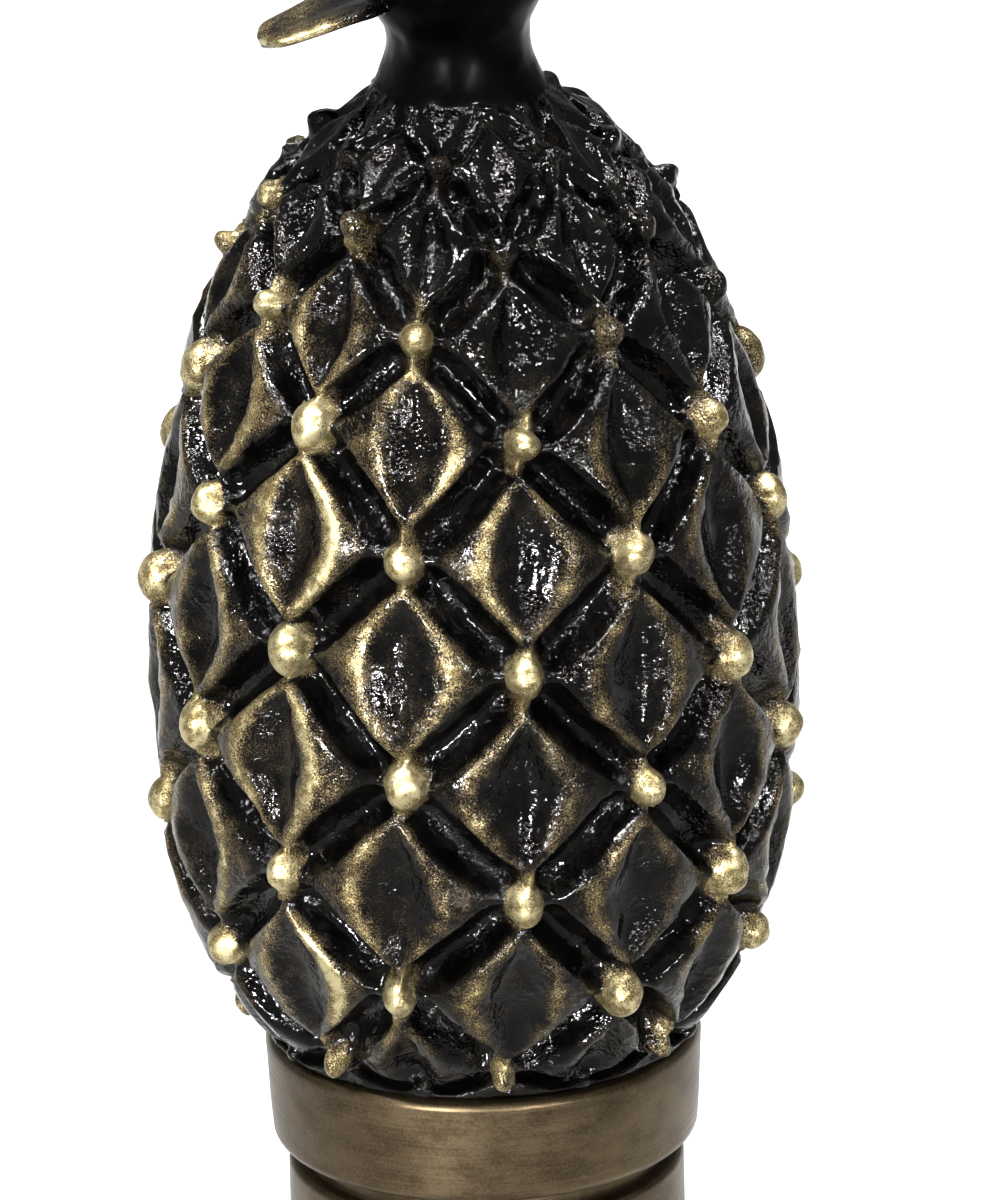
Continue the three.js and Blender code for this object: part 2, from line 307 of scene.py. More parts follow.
def stem(sideways, upward, width, reaches, bend):
    """Relief and rub of the tails that tie a stud to the plates above and below it."""
    length = np.where(upward > 0, reaches[0], reaches[1]) * width
    along = np.minimum(np.abs(upward) / length, 1)
    half_width = STEM_HALF * (STEM_SPREAD - along)
    thin = np.exp(-(((sideways - bend * upward) / half_width) ** 2))
    share = thin * (1 - smooth_step(along, STEM_END, 1.0))
    floor = -CHANNEL_DEPTH - 2 * WEB_DROP
    relief = floor + (STEM_LEVEL + STEM_RISE * (1 - along) - floor) * share
    return np.where(share > STEM_LEAST, relief, NOWHERE), share


print("studs", 2 * STUD_RADIUS, "mm across")

# %% [markdown]
# ## One cell of the lattice
#
# A cell is a diamond with a stud at each corner. Its mesh lines run along its sides, so that
# the channel walls, which are the crispest edges on the casting, lie along mesh lines and stay
# crisp. The lines are set close together in the channels and wide apart on the plate. Cells
# share their border points, and the whole egg is joined up from them. With the relief, each
# point also gets a number for how much it is rubbed: high on studs and ridges, nothing in the
# channels, and higher towards the front left, which is partly wear and partly a painted
# highlight. The finish uses it later. Where a name holds a pair of numbers, something fades
# in or out between the two.

# %% Mesh lines of a cell
HALF_LINES = [0, 0.022, 0.046, 0.066, 0.082, 0.096, 0.11, 0.127]
HALF_LINES += [0.15, 0.19, 0.24, 0.3, 0.365, 0.432, 0.5]
cell_lines = np.array(HALF_LINES + [1 - line for line in reversed(HALF_LINES[:-1])])
line_count = len(cell_lines)
print("a cell has", (line_count - 1) ** 2, "faces")

# %% Build one cell
# Rub rises towards the front left; this is partly wear and partly a painted highlight on the side the
# light falls from.
WORN_AND_LIT_SIDE = math.radians(-30)
WORN_AND_LIT_LEAST = 0.4
WORN_AND_LIT_MORE = 0.6
WORN_AND_LIT_FOCUS = 7
STUD_WORN_AND_LIT_LEAST = 0.6
STUD_WORN_AND_LIT_MORE = 0.4
SHOULDER_ROW = 8.3
SHOULDER_SLANT = 0.9
SHOULDER_LOSS = 0.95
PLATE_RUB_START = (0.9, 2.3)
PLATE_RUB_END = (-2, 0.2)
PLATE_EDGE = (0.9, 1.25)
STUD_RUB = 1.3
STEM_RUB = 0.9
STUD_RUB_START = (0.2, 1.6)
STUD_RUB_END = (-1, 1)
STUD_FILLET = 0.12
STEM_FILLET = 0.25
UPPER_STUD_ROWS = (7, 8)
UPPER_STUD_LOSS = 0.15
LOWEST_STUD_ROWS = (0.5, 2.5)
LOWEST_STUD_LEAST = 0.7
LOWEST_STUD_MORE = 0.3
SEAT_FADE = (-0.4, 1)
NECK_FADE = (-1.0, 2.4)


def row_length(row):
    """Length along the blank from this row to the next one, in millimetres."""
    low, high = np.clip([row - 0.5, row + 0.5], 0, ROWS)
    low, high = np.minimum(low, ROWS - 0.5), np.maximum(high, 0.5)
    low_radius, low_height = outline(low)
    high_radius, high_height = outline(high)
    return np.hypot(high_radius - low_radius, high_height - low_height) / (high - low)


def relief_share(row):
    """Share of the full relief: it dies out at the seat and flattens towards the neck."""
    return smooth_step(row, *SEAT_FADE) * smooth_step(ROWS - row, *NECK_FADE)


def rub_and_sheen_share(row, turn):
    """Shares of the full rub for plates and studs: most towards the front left, least above; the
    front-left rise is partly wear and partly a painted highlight.
    """
    near = np.exp(WORN_AND_LIT_FOCUS * (np.cos(turn - WORN_AND_LIT_SIDE) - 1))
    worn_and_lit = WORN_AND_LIT_LEAST + WORN_AND_LIT_MORE * near
    shoulder = SHOULDER_ROW - SHOULDER_SLANT * np.sin(turn)
    plates_below, studs_below = (
        1 - SHOULDER_LOSS * smooth_step(row, shoulder + start, shoulder + end)
        for start, end in (PLATE_RUB_END, STUD_RUB_END)
    )
    studs_worn_and_lit = STUD_WORN_AND_LIT_LEAST + STUD_WORN_AND_LIT_MORE * worn_and_lit
    return worn_and_lit * plates_below, studs_worn_and_lit * studs_below


def cell_surface(cell_column, cell_row):
    """Columns, rows, relief and rub over one cell's grid of mesh lines."""
    p, q = np.meshgrid(cell_lines, cell_lines, indexing="ij")
    column = cell_column + (p - q) / 2
    row = cell_row + p + q - 1
    radius, _ = outline(np.clip(row, 0, ROWS))
    width_of_column = radius * math.tau / COLUMNS
    length_of_row = row_length(row)
    side = np.hypot(width_of_column / 2, length_of_row)
    width = np.sqrt(side / SIDE_AT_MIDDLE)
    across_p, across_q = np.minimum(p, 1 - p) * side, np.minimum(q, 1 - q) * side
    near = np.minimum(across_p, across_q)

    own = node_index(cell_column, cell_row)
    margin = (CHANNEL_HALF * width) / side
    plate_relief, plate_rub = plate(p, q, margin, plate_depth[own], ridge_lean[own], side_wear[own])
    inside = smooth_step(near, *(CHANNEL_HALF * width * share for share in PLATE_EDGE))
    relief = channel(across_p, across_q, width) - WEB_DROP * (1 - inside) + plate_relief * inside
    # These shares carry the painted highlight on the front-left side as well as wear.
    plate_share, stud_share = rub_and_sheen_share(row, turn_of(column, row))
    rub = plate_rub * inside * plate_wear[own] * smooth_step(row, *PLATE_RUB_START) * plate_share

    studs = np.full_like(relief, NOWHERE)
    stems = np.full_like(relief, NOWHERE)
    for corner_p, corner_q in ((0, 0), (1, 0), (0, 1), (1, 1)):
        node_column = cell_column + (corner_p - corner_q) / 2
        node_row = cell_row + corner_p + corner_q - 1
        i, j = node_index(node_column, node_row)
        shift_column, shift_row = stud_shift[i, j]
        sideways = (column - node_column - shift_column) * width_of_column
        upward = (row - node_row - shift_row) * length_of_row
        upper = 1 - UPPER_STUD_LOSS * smooth_step(node_row, *UPPER_STUD_ROWS)
        lowest = LOWEST_STUD_LEAST + LOWEST_STUD_MORE * smooth_step(node_row, *LOWEST_STUD_ROWS)
        size = STUD_RADIUS * stud_size[i, j] * np.sqrt(width) * upper * lowest
        ball, ball_rub = stud(sideways, upward, size, stud_length[i, j], stud_rise[i, j])
        bar, bar_rub = stem(sideways, upward, width, stem_reach[i, j], stem_bend[i, j])
        studs = np.maximum(studs, ball)
        stems = np.maximum(stems, bar)
        tip_rub = np.maximum(STEM_RUB * bar_rub, STUD_RUB * ball_rub)
        rub = np.maximum(rub, tip_rub * smooth_step(row, *STUD_RUB_START) * stud_share)
    relief = smooth_max(smooth_max(relief, stems, STEM_FILLET), studs, STUD_FILLET)
    return column, row, relief * relief_share(row), rub


def cell_faces(cell_row):
    """Corner numbers of the cell's faces, cut level where the first and last rows end."""
    faces = []
    last = line_count - 1
    for i in range(last):
        for j in range(last):
            low = i * line_count + j
            right, left = low + line_count, low + 1
            high = right + 1
            level = i + j + 1
            if cell_row == 0 and level <= last:
                if level == last:
                    faces.append((right, high, left))
            elif cell_row == ROWS and level >= last:
                if level == last:
                    faces.append((low, right, left))
            else:
                faces.append((low, right, high, left))
    return faces


print("a whole cell:", len(cell_faces(5)), "faces")

# %% [markdown]
# ## The carved egg
#
# All the cells are made and their shared borders welded. Lumps come next: a casting carries the
# softness of its wax and the thickness of its lacquer, so slow waves move whole studs a little
# and quick ones pit the surface. The shoulder, where the real carving breaks up into small
# blobs, gets stronger waves than the belly. Flat caps close the egg, which lets it be joined
# to the neck as a true solid.

# %% Lay out the cells of the egg
def carved_egg():
    """Points, rub and faces of all the cells, laid side by side."""
    columns, rows, reliefs, rubs, faces = [], [], [], [], []
    per_cell = line_count * line_count
    used = 0
    for cell_row in range(ROWS + 1):
        for i in range(COLUMNS):
            cell_column = i + 0.5 * (cell_row % 2)
            column, row, relief, rub = cell_surface(cell_column, cell_row)
            columns.append(column.ravel())
            rows.append(row.ravel())
            reliefs.append(relief.ravel())
            rubs.append(rub.ravel())
            faces += [tuple(used + k for k in face) for face in cell_faces(cell_row)]
            used += per_cell
    column, row = np.concatenate(columns), np.clip(np.concatenate(rows), 0, ROWS)
    relief, rub = np.concatenate(reliefs), np.concatenate(rubs)
    return on_egg(column, row, relief), rub, faces


egg_points, egg_rub, egg_faces = carved_egg()
print("egg grid:", len(egg_points), "points before welding")

# %% Weld the egg into a closed mesh
WELD = 1e-7


def mesh_object(name, points, faces, rub):
    """An object from points in millimetres, with its rub kept on the points."""
    mesh = bpy.data.meshes.new(name)
    mesh.from_pydata([tuple(point) for point in np.asarray(points) * MM], [], faces)
    layer = mesh.attributes.new("rub", "FLOAT", "POINT")
    layer.data.foreach_set("value", np.asarray(rub, dtype=np.float32))
    obj = bpy.data.objects.new(name, mesh)
    bpy.context.scene.collection.objects.link(obj)
    return obj


def weld_and_cap(obj):
    """Weld shared borders, drop loose points and close each open ring with a flat cap."""
    work = bmesh.new()
    work.from_mesh(obj.data)
    bmesh.ops.delete(work, geom=[v for v in work.verts if not v.link_faces], context="VERTS")
    bmesh.ops.remove_doubles(work, verts=work.verts, dist=WELD)
    open_edges = [edge for edge in work.edges if edge.is_boundary]
    bmesh.ops.holes_fill(work, edges=open_edges, sides=0)
    bmesh.ops.recalc_face_normals(work, faces=work.faces)
    bmesh.ops.triangulate(work, faces=[f for f in work.faces if len(f.verts) > 4])
    left_open = sum(edge.is_boundary for edge in work.edges)
    work.to_mesh(obj.data)
    work.free()
    print(obj.name, len(obj.data.vertices), "points,", left_open, "open edges")


egg = mesh_object("egg", egg_points, egg_faces, egg_rub)
weld_and_cap(egg)

# %% Give the egg its lumps
DRIFT_SIZE = 7.0
DRIFT = 0.4
DRIFT_SEEDS = (5, 6, 7)
LUMP_SIZE = 2.3
LUMP_HEIGHT = 0.16
LUMP_SEED = 1
BLOB_SIZE = 1.1
BLOB_HEIGHT = 0.6
BELLY_BLOBS = 0.12
BLOB_SEED = 3
GRAIN_SIZE = 0.7
GRAIN_HEIGHT = 0.04
GRAIN_SEED = 2
NOISE_PLACE = (17.0, 5.0, 3.0)
SEAT_BAND = 0.2
DRIFT_FULL = 4
LUMPS_FULL = 2
BLOBS_FROM_ROW = 8.2
BLOBS_FULL_BELOW_NECK = 8


def lumps(points, size, seed):
    """Smooth noise from -1 to 1 at points in millimetres; each seed reads another part of it."""
    x, y, z = NOISE_PLACE
    offset = Vector((seed * x, seed * y, z))
    return np.array([noise.noise(Vector(point) / size + offset) for point in points])


def above_seat(height, reach):
    """A share from 0 on the seat, which stays flat on its collar, to 1 at a reach above it."""
    return smooth_step(height, seat_height + SEAT_BAND, seat_height + reach)


def vectors_of(mesh, name):
    """One vector for each point of a mesh."""
    values = np.empty(len(mesh.vertices) * 3)
    mesh.vertices.foreach_get(name, values)
    return values.reshape(-1, 3)


def move_by_lumps(obj, lumps_of, blobs_of):
    """Let the points drift, then push them along their normals by slow, middling and quick waves."""
    mesh = obj.data
    points = vectors_of(mesh, "co") / MM
    normals = vectors_of(mesh, "normal")
    adrift = np.stack([lumps(points, DRIFT_SIZE, seed) for seed in DRIFT_SEEDS], axis=-1)
    adrift *= DRIFT * above_seat(points[:, 2], DRIFT_FULL)[:, None]
    slow = lumps(points, LUMP_SIZE, LUMP_SEED) * lumps_of(points[:, 2])
    middling = lumps(points, BLOB_SIZE, BLOB_SEED) * blobs_of(points[:, 2])
    quick = lumps(points, GRAIN_SIZE, GRAIN_SEED) * GRAIN_HEIGHT
    points += adrift + normals * (slow + middling + quick)[:, None]
    mesh.vertices.foreach_set("co", (points * MM).ravel())
    mesh.update()


def lumps_at(height):
    """Height of the slow waves: none at the seat."""
    return LUMP_HEIGHT * above_seat(height, LUMPS_FULL)


def blobs_at(height):
    """Height of the blobs: low on the belly, high on the shoulder."""
    start = row_height(np.array(BLOBS_FROM_ROW))
    up = smooth_step(height, start, neck_level - BLOBS_FULL_BELOW_NECK)
    low = BELLY_BLOBS * above_seat(height, LUMPS_FULL)
    return low + (BLOB_HEIGHT - BELLY_BLOBS) * up


move_by_lumps(egg, lumps_at, blobs_at)
print("lumps of", LUMP_HEIGHT, "mm, and on the shoulder", BLOB_HEIGHT, "mm")

# %% [markdown]
# ## Neck and leaf crown
#
# The neck is a turned waist that flares down on to the egg and up into the leaves. The leaves
# of the real crown are thick, keeled and blunt, set one after another round a spiral, the
# lowest arching out and down and the highest nearly upright. Only the lowest leaf's tip shows in
# the photo, so the rest follow it. Each leaf is a section carried along a bent line, which is
# easier to keep clean than a sculpted plane given thickness. The neck's rub numbers lie a little
# below zero, which the finish reads as never handled.

# %% A turned closed mesh
ON_AXIS = 1e-6


def turned_grid(profile, sides):
    """Points and faces of a profile (radius, height) turned about the axis, ends on the axis."""
    points, faces = [], []
    rings = []
    for radius, height in profile:
        if radius < ON_AXIS:
            rings.append([len(points)])
            points.append((0.0, 0.0, height))
            continue
        rings.append(list(range(len(points), len(points) + sides)))
        for k in range(sides):
            angle = math.tau * k / sides
            points.append((radius * math.sin(angle), -radius * math.cos(angle), height))
    for low, high in zip(rings, rings[1:]):
        for k in range(sides):
            following = (k + 1) % sides
            if len(low) == 1:
                faces.append((low[0], high[following], high[k]))
            elif len(high) == 1:
                faces.append((low[k], low[following], high[0]))
            else:
                faces.append((low[k], low[following], high[following], high[k]))
    return points, faces


def curve_through(points, count):
    """A smooth curve through the points, as a list of count + 1 points."""
    padded = [points[0], *points, points[-1]]
    result = []
    for k in range(count + 1):
        place = (len(points) - 1) * k / count
        i = min(int(place), len(points) - 2)
        t = place - i
        a, b, c, d = (np.array(padded[i + n], dtype=float) for n in range(4))
        square = 2 * a - 5 * b + 4 * c - d
        cube = 3 * b - a - 3 * c + d
        result.append(tuple(0.5 * (2 * b + (c - a) * t + square * t**2 + cube * t**3)))
    return result


print("turning helpers ready")

# %% Turn the neck
NECK_RADIUS = 5.0
FLARE_RADIUS = 6.3
FLARE_RISE = 3.8
NECK_SIDES = 96
NECK_STEPS = 60
NECK_SKIRT = 1.75
NECK_ROOT = 2.4
CORE_SHARE = 0.78
UNTOUCHED = -0.3
UNTOUCHED_FADE = (9, 3)

skirt_radius = NECK_RADIUS * NECK_SKIRT
core_top = neck_level + CROWN_HEIGHT * CORE_SHARE
neck_outline = curve_through(
    [
        (skirt_radius, neck_level - NECK_RADIUS * 1.5),
        (NECK_RADIUS * 1.16, neck_level - NECK_RADIUS * 0.72),
        (NECK_RADIUS, neck_level),
        (FLARE_RADIUS, neck_level + FLARE_RISE),
        (FLARE_RADIUS * 0.85, neck_level + CROWN_HEIGHT * 0.27),
        (FLARE_RADIUS * 0.3, neck_level + CROWN_HEIGHT * 0.7),
    ],
    NECK_STEPS,
)
root_level = neck_level - NECK_RADIUS * NECK_ROOT
neck_profile = [(0, root_level), (skirt_radius, root_level), *neck_outline, (0, core_top)]
neck_points, neck_faces = turned_grid(neck_profile, NECK_SIDES)
neck_heights = np.asarray(neck_points)[:, 2]
fade_low, fade_high = (neck_level - depth for depth in UNTOUCHED_FADE)
neck_rub = UNTOUCHED * smooth_step(neck_heights, fade_low, fade_high)
neck = mesh_object("neck", neck_points, neck_faces, neck_rub)
move_by_lumps(neck, lambda height: LUMP_HEIGHT, lambda height: 0)
print("neck", 2 * NECK_RADIUS, "mm across,", len(neck_points), "points")

# %% Carve the leaves
LEAF_COUNT = 17
LEAF_RISE = 0.74
FIRST_LEAF_AZIMUTH = math.radians(-75)
LEAF_TURN = math.radians(137.5)
CROWN_REACH = 14.6
LEAF_WIDTH, LEAF_TIP_WIDTH = 7.8, 4.6
LEAF_BASE_SHARE, LEAF_BASE_LENGTH = 0.55, 0.35
LEAF_TAPER_POWER = 2.5
LEAF_THICKNESS, LEAF_TIP_THICKNESS = 2.6, 2.0
LEAF_TIP_START, LEAF_TIP_LENGTH, LEAF_TIP_ROUND = 0.9, 0.1, 0.93
TIP_EDGE_LEAST, TIP_EDGE_MORE = 0.4, 0.6
FACE_ARCH, FACE_POWER = 0.62, 0.6
GROOVE_DEPTH, GROOVE_WIDTH = 0.42, 0.3
BACK_ARCH = 0.45
KEEL_HEIGHT, KEEL_WIDTH = 0.4, 0.22
LEAF_RUB, LEAF_RUB_START = 0.5, 0.3
MARGIN_RUB, MARGIN_POWER = 0.9, 4
KEEL_RUB, KEEL_RUB_WIDTH = 0.35, 0.2
LOWEST_LEAF = [(0.3, 0.07), (0.466, 0.086), (0.635, 0.045), (0.929, 0.016)]
MIDDLE_LEAF = [(0.3, 0.1), (0.52, 0.4), (0.8, 0.75), (1.16, 0.72)]
TOPMOST_LEAF = [(0.1, 0.36), (0.16, 0.6), (0.2, 0.85), (0.06, 1)]
LEAF_STATIONS = 26
SECTION_POINTS = 20


def leaf_midline(share):
    """Four control points of a leaf's midline, blended from the lowest to the topmost leaf."""
    low, middle, top = (np.array(line) for line in (LOWEST_LEAF, MIDDLE_LEAF, TOPMOST_LEAF))
    line = low * (1 - share) ** 2 + middle * 2 * share * (1 - share) + top * share**2
    return line * [CROWN_REACH, CROWN_HEIGHT] + [0, neck_level]


def bezier(line, t):
    """Place and heading at a share of the way along a line of four control points."""
    a, b, c, d = line
    point = a * (1 - t) ** 3 + 3 * b * t * (1 - t) ** 2 + 3 * c * t**2 * (1 - t) + d * t**3
    heading = (b - a) * (1 - t) ** 2 + 2 * (c - b) * t * (1 - t) + (d - c) * t**2
    return point, heading / np.hypot(*heading)


def leaf_section():
    """Points round a leaf's section: channelled above, keeled below, with rounded margins."""
    section = []
    for k in range(SECTION_POINTS):
        angle = math.tau * k / SECTION_POINTS
        across = -math.cos(angle)
        if math.sin(angle) >= 0:
            groove = GROOVE_DEPTH * math.exp(-((across / GROOVE_WIDTH) ** 2))
            rise = FACE_ARCH * math.sin(angle) ** FACE_POWER - groove
        else:
            keel = KEEL_HEIGHT * math.exp(-((across / KEEL_WIDTH) ** 2))
            rise = BACK_ARCH * math.sin(angle) - keel
        section.append((across, rise))
    return section


def leaf(number):
    """Points, faces and rub of one leaf, blunt and rounded at its tip."""
    line = leaf_midline((number / (LEAF_COUNT - 1)) ** LEAF_RISE)
    section = leaf_section()
    turn = FIRST_LEAF_AZIMUTH + number * LEAF_TURN
    points, rub = [], []
    for k in range(LEAF_STATIONS + 1):
        along = k / LEAF_STATIONS
        at, heading = bezier(line, along)
        upward = np.array([-heading[1], heading[0]])
        into_tip = max(0.0, (along - LEAF_TIP_START) / LEAF_TIP_LENGTH)
        rounding = math.sqrt(1 - into_tip**2 * LEAF_TIP_ROUND)
        leaf_width = LEAF_WIDTH + (LEAF_TIP_WIDTH - LEAF_WIDTH) * along**LEAF_TAPER_POWER
        half_width = leaf_width / 2 * rounding
        grown = float(smooth_step(along, 0, LEAF_BASE_LENGTH))
        half_width *= LEAF_BASE_SHARE + (1 - LEAF_BASE_SHARE) * grown
        half_thickness = (LEAF_THICKNESS + (LEAF_TIP_THICKNESS - LEAF_THICKNESS) * along) / 2
        half_thickness *= TIP_EDGE_LEAST + TIP_EDGE_MORE * rounding
        for across, rise in section:
            reach, height = at + upward * rise * half_thickness
            sideways = across * half_width
            points.append(
                (
                    sideways * math.cos(turn) + reach * math.sin(turn),
                    sideways * math.sin(turn) - reach * math.cos(turn),
                    height,
                )
            )
            margin = abs(across) ** MARGIN_POWER * MARGIN_RUB
            keel = KEEL_RUB * math.exp(-((across / KEEL_RUB_WIDTH) ** 2)) if rise < 0 else 0
            rub.append(smooth_step(along, LEAF_RUB_START, 1.0) * (LEAF_RUB + margin + keel))
    faces = [tuple(reversed(range(SECTION_POINTS)))]
    last = LEAF_STATIONS * SECTION_POINTS
    for start in range(0, last, SECTION_POINTS):
        for j in range(SECTION_POINTS):
            following = (j + 1) % SECTION_POINTS
            a, b = start + j, start + following
            faces.append((a, b, b + SECTION_POINTS, a + SECTION_POINTS))
    faces.append(tuple(range(last, last + SECTION_POINTS)))
    return points, faces, rub


leaves = []
for number in range(LEAF_COUNT):
    leaf_points, leaf_faces, leaf_rub = leaf(number)
    blade = mesh_object(f"leaf_{number}", leaf_points, leaf_faces, leaf_rub)
    weld_and_cap(blade)
    leaves.append(blade)
print(len(leaves), "leaves")

# %% [markdown]
# ## One casting
#
# Egg, neck and leaves were poured together, so they become one solid by a boolean union. Laying
# them through each other would look the same from outside but leave hidden faces inside. The
# union also keeps the rub numbers on the points.

# %% Join egg, neck and leaves
SEAM_LOW, SEAM_HIGH = -8.5, -2.5
SEAM_SMOOTHINGS = 8
SEAM_SOFTENING = 0.5


def join_solid(target, other):
    """Unite another solid with the target and remove it."""
    cut = target.modifiers.new("join", "BOOLEAN")
    cut.operation = "UNION"
    cut.solver = "MANIFOLD"
    cut.object = other
    evaluated = target.evaluated_get(bpy.context.evaluated_depsgraph_get())
    joined = bpy.data.meshes.new_from_object(evaluated)
    target.modifiers.clear()
    target.data = joined
    bpy.data.objects.remove(other)


def shade_smooth(obj):
    for polygon in obj.data.polygons:
        polygon.use_smooth = True


for part in [neck, *leaves]:
    join_solid(egg, part)
pineapple = egg
pineapple.name = "cast_pineapple"
work = bmesh.new()
work.from_mesh(pineapple.data)
seam = [v for v in work.verts if SEAM_LOW < v.co.z / MM - neck_level < SEAM_HIGH]
for _ in range(SEAM_SMOOTHINGS):
    bmesh.ops.smooth_vert(
        work, verts=seam, factor=SEAM_SOFTENING, use_axis_x=True, use_axis_y=True, use_axis_z=True
    )
work.to_mesh(pineapple.data)
work.free()
shade_smooth(pineapple)
triangles = sum(len(polygon.vertices) - 2 for polygon in pineapple.data.polygons)
print("cast pineapple:", triangles, "triangles, attributes", list(pineapple.data.attributes.keys()))

# %% [markdown]
# ## Collar and sleeve
#
# Both are lathe work, so each is a profile turned about the axis. The collar has a rolled top
# edge that catches the light as a thin line, a face that swells a little, and a rounder lower
# edge. Between it and the sleeve lies a dark recess.

# %% Round corners for a profile
ARC_STEPS = 8


def arc(centre_radius, centre_height, radius, start, end):
    """Points of an arc in a profile, angles in degrees from straight out, upwards."""
    result = []
    for k in range(ARC_STEPS + 1):
        angle = math.radians(start + (end - start) * k / ARC_STEPS)
        result.append((centre_radius + radius * math.cos(angle), centre_height + radius * math.sin(angle)))
    return result


print("rounded corners of", ARC_STEPS, "steps")

# %% Turn the collar
TURNED_SIDES = 224
SHARP_ANGLE = math.radians(35)
COLLAR_HOLE = 9.3
COLLAR_SLIMMING = 0.35
TOP_ROLL = 0.7
BOTTOM_ROLL = 0.8
FACE_SWELL = 0.06
FACE_STEPS = 12

low_radius = collar_radius - COLLAR_SLIMMING
face_low = collar_bottom + BOTTOM_ROLL
face_high = collar_top - TOP_ROLL
collar_face = []
for k in range(1, FACE_STEPS):
    t = k / FACE_STEPS
    swell = FACE_SWELL * math.sin(math.pi * t)
    face_radius = low_radius + COLLAR_SLIMMING * t + swell * (1 - t)
    collar_face.append((face_radius, face_low + (face_high - face_low) * t))
collar_profile = [
    (COLLAR_HOLE, collar_bottom),
    *arc(low_radius - BOTTOM_ROLL, face_low, BOTTOM_ROLL, -90, 0),
    *collar_face,
    *arc(collar_radius - TOP_ROLL, face_high, TOP_ROLL, 0, 90),
    (COLLAR_HOLE, collar_top),
    (COLLAR_HOLE, collar_bottom),
]


def turned_object(name, profile):
    """A smooth turned piece that keeps its sharp edges sharp."""
    points, faces = turned_grid(profile, TURNED_SIDES)
    obj = mesh_object(name, points, faces, [0.0] * len(points))
    weld_and_cap(obj)
    shade_smooth(obj)
    obj.data.set_sharp_from_angle(angle=SHARP_ANGLE)
    return obj


collar = turned_object("turned_collar", collar_profile)

# %% Turn the sleeve
SLEEVE_HEIGHT = 14.0
BORE_RADIUS = 12.8
BORE_TOP = 12.4
RECESS_RADIUS = 12.5
SLEEVE_ROLL = 0.5
BORE_CHAMFER = 0.15
RIM_CHAMFER = 0.2

sleeve_top = sleeve_high[2]
sleeve_profile = [
    (0, BORE_TOP),
    (BORE_RADIUS, BORE_TOP),
    (BORE_RADIUS, BORE_CHAMFER),
    (BORE_RADIUS + BORE_CHAMFER, 0),
    (sleeve_radius - RIM_CHAMFER, 0),
    (sleeve_radius, RIM_CHAMFER),
    *arc(sleeve_radius - SLEEVE_ROLL, SLEEVE_HEIGHT - SLEEVE_ROLL, SLEEVE_ROLL, 0, 90),
    (RECESS_RADIUS, SLEEVE_HEIGHT),
    (RECESS_RADIUS, sleeve_top),
    (0, sleeve_top),
]
sleeve = turned_object("pole_sleeve", sleeve_profile)

# %% [markdown]
# ## The finishes
#
# Antique brass on a casting is a short story: metal first, then black lacquer over all of it,
# then a cloth that takes the lacquer off whatever stands proud. So the black and the metal are
# one material, mixed by the rub number of each point and broken up by grain, with a brown film
# between them where the lacquer is only thin. Pits and waves in the lacquer, gathered in
# clusters, make the channels sparkle. The neck, never handled, keeps a smoother and duller black.

# %% Helpers for building a finish
def new_finish(name):
    """A new material, its node tree and its shader."""
    material = bpy.data.materials.new(name)
    material.use_nodes = True
    tree = material.node_tree
    return material, tree, tree.nodes["Principled BSDF"]


def add_node(tree, kind, **settings):
    node = tree.nodes.new(kind)
    for key, value in settings.items():
        setattr(node, key, value)
    return node


def grain(tree, size_mm, detail=3.0, roughness=0.55, stretch=(1, 1, 1)):
    """Noise of a size on the object, from 0 to 1."""
    place = add_node(tree, "ShaderNodeTexCoord")
    mapping = add_node(tree, "ShaderNodeMapping")
    mapping.inputs["Scale"].default_value = stretch
    texture = add_node(tree, "ShaderNodeTexNoise")
    texture.inputs["Scale"].default_value = 1 / (size_mm * MM)
    texture.inputs["Detail"].default_value = detail
    texture.inputs["Roughness"].default_value = roughness
    tree.links.new(place.outputs["Object"], mapping.inputs["Vector"])
    tree.links.new(mapping.outputs["Vector"], texture.inputs["Vector"])
    return texture.outputs["Fac"]


def calculate(tree, operation, a, b):
    node = add_node(tree, "ShaderNodeMath", operation=operation)
    for socket, value in zip(node.inputs, (a, b)):
        if isinstance(value, (int, float)):
            socket.default_value = value
        else:
            tree.links.new(value, socket)
    return node.outputs[0]


def centred_grain(tree, size_mm, **settings):
    """Noise of a size on the object, about 0."""
    return calculate(tree, "SUBTRACT", grain(tree, size_mm, **settings), 0.5)


def remap(tree, value, within, onto=(0.0, 1.0)):
    """Carry a value from one range on to another, easing at both ends."""
    node = add_node(tree, "ShaderNodeMapRange", interpolation_type="SMOOTHSTEP")
    limits = zip(("From Min", "From Max", "To Min", "To Max"), (*within, *onto))
    for socket, limit in limits:
        node.inputs[socket].default_value = limit
    tree.links.new(value, node.inputs["Value"])
    return node.outputs["Result"]


def mix_colour(tree, share, a, b):
    node = add_node(tree, "ShaderNodeMix", data_type="RGBA")
    tree.links.new(share, node.inputs[0])
    for socket, value in ((node.inputs[6], a), (node.inputs[7], b)):
        if isinstance(value, tuple):
            socket.default_value = (*value, 1)
        else:
            tree.links.new(value, socket)
    return node.outputs[2]


def bump(tree, height, strength, distance_mm, under=None):
    """Small relief that only the light sees, laid over another one if there is one."""
    node = add_node(tree, "ShaderNodeBump")
    if isinstance(strength, float):
        node.inputs["Strength"].default_value = strength
    else:
        tree.links.new(strength, node.inputs["Strength"])
    node.inputs["Distance"].default_value = distance_mm * MM
    tree.links.new(height, node.inputs["Height"])
    if under is not None:
        tree.links.new(under, node.inputs["Normal"])
    return node.outputs["Normal"]


print("finish helpers ready")

